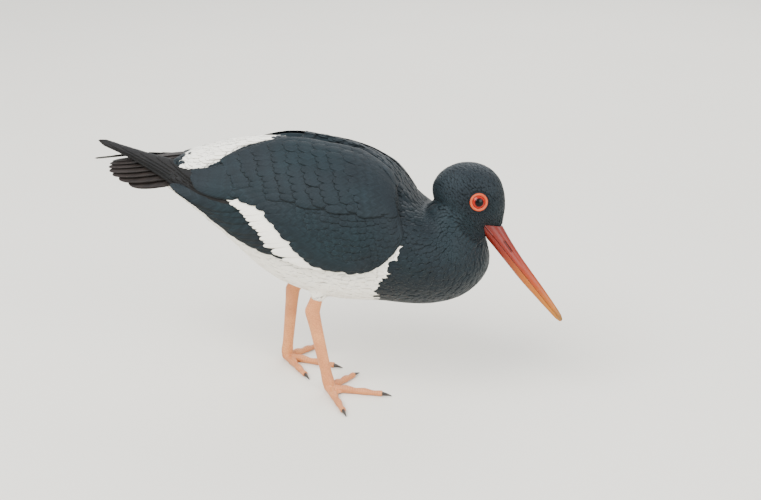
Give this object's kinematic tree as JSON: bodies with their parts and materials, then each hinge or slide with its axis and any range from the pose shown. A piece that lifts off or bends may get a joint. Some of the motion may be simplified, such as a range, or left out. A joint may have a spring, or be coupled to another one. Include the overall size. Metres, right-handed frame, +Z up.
{
  "type": "pied oystercatcher",
  "caption": "A black and white wading bird standing with its head lowered and its long straight red bill pointing down at the ground.",
  "frame": {"origin": "on the floor, under the middle of the bird's length and width", "axes": "+X along the body towards the head and bill, +Y towards the bird's left side, +Z up from the soles of the feet"},
  "size_m": [0.3594, 0.12, 0.1929],
  "materials": {
    "black_plumage": "matte feathers with a faint bluish gloss",
    "brown_black_plumage": "matte feathers",
    "white_plumage": "matte feathers",
    "bill_horn": "smooth satin horn, red at the base and orange yellow at the tip",
    "leg_skin": "scaly skin, satin",
    "claw_horn": "smooth satin horn",
    "eye_ring_skin": "bare pimpled skin, satin",
    "eye": "wet gloss"
  },
  "bodies": {
    "root": {"torso": "white_plumage", "breast": "black_plumage", "neck": "black_plumage", "head": "black_plumage", "bill_upper": "bill_horn", "bill_lower": "bill_horn", "eye_right": "eye", "eyelid_right": "eye_ring_skin", "eye_left": "eye", "eyelid_left": "eye_ring_skin", "tail": "brown_black_plumage", "wing_right": "black_plumage", "wing_left": "black_plumage", "thigh_right": "white_plumage", "tarsus_right": "leg_skin", "foot_right": "leg_skin", "claw_right_outer": "claw_horn", "claw_right_middle": "claw_horn", "claw_right_inner": "claw_horn", "thigh_left": "white_plumage", "tarsus_left": "leg_skin", "foot_left": "leg_skin", "claw_left_outer": "claw_horn", "claw_left_middle": "claw_horn", "claw_left_inner": "claw_horn"}
  },
  "joints": []
}
